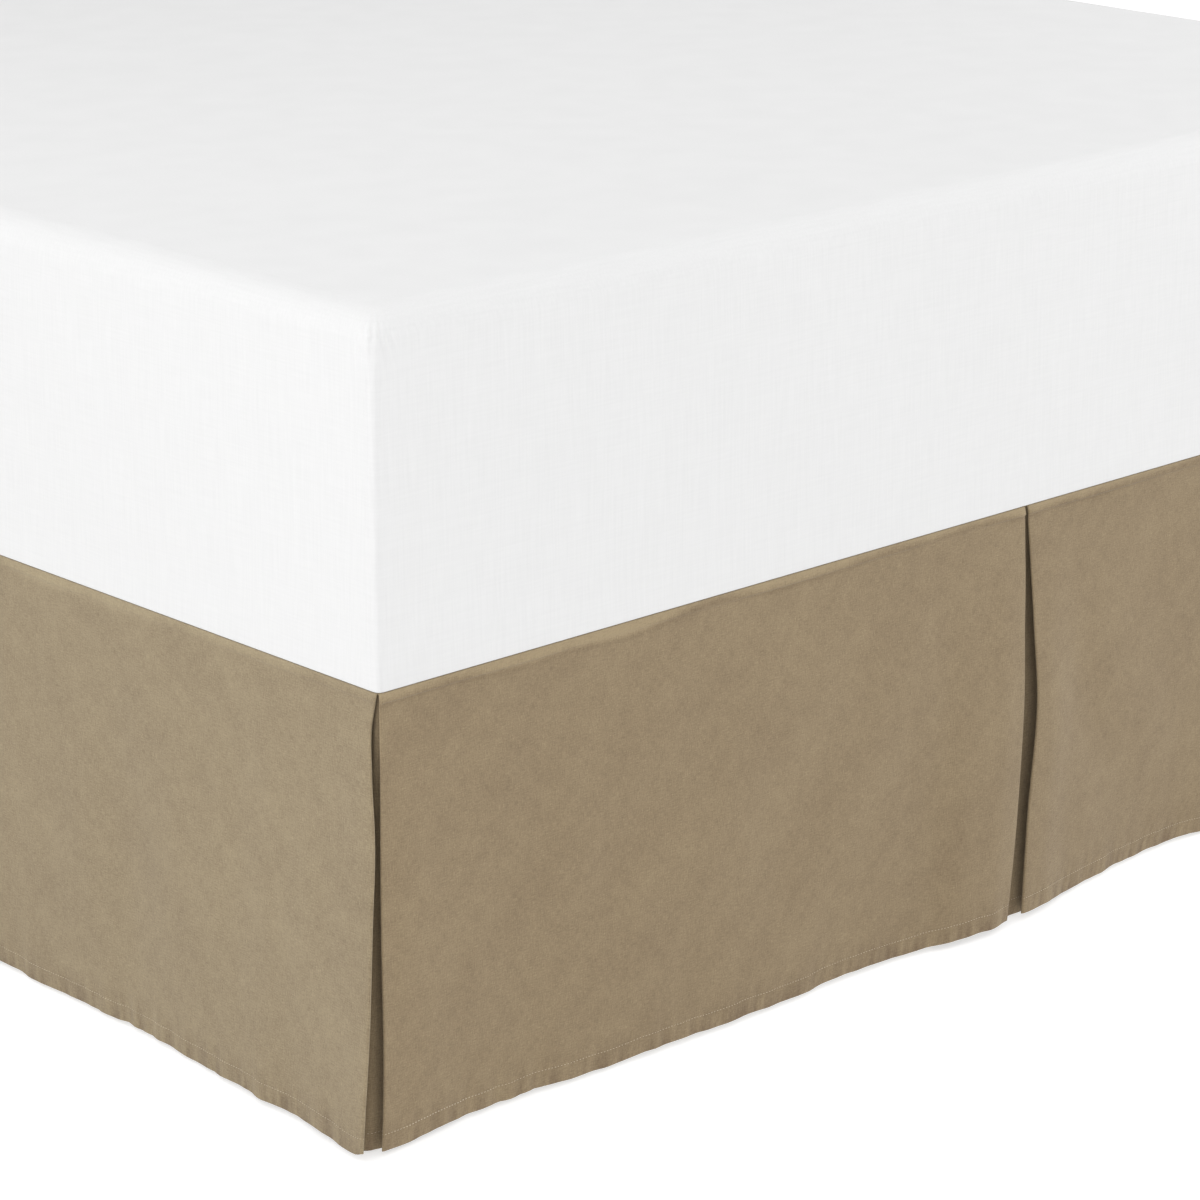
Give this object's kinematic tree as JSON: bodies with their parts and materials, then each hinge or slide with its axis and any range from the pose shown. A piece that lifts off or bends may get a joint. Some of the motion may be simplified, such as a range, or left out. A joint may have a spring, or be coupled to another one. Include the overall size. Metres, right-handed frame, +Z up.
{
  "type": "bed skirt on a bed",
  "caption": "Tailored bed skirt with inverted pleats at its corners and at the middle of each drop, hanging from a flat deck held between a mattress and its base.",
  "frame": {"origin": "on the floor under the middle of the whole, with the bed's foot at -Y and its open head end at +Y", "axes": "+X across the bed, +Y towards the head, +Z up"},
  "size_m": [1.6115, 2.077, 0.6861],
  "materials": {
    "skirt_cloth": "matt plain weave, khaki",
    "deck_cloth": "matt plain weave, off-white",
    "mattress_cover": "smooth white sheeting",
    "base_cloth": "plain pale ticking",
    "leg_wood": "satin dark stain"
  },
  "bodies": {
    "root": {"skirt_side_left": "skirt_cloth", "skirt_foot": "skirt_cloth", "skirt_side_right": "skirt_cloth", "skirt_deck": "deck_cloth", "mattress": "mattress_cover", "bed_base": "base_cloth", "base_leg_1": "leg_wood", "base_leg_2": "leg_wood", "base_leg_3": "leg_wood", "base_leg_4": "leg_wood", "base_leg_5": "leg_wood", "base_leg_6": "leg_wood"}
  },
  "joints": []
}
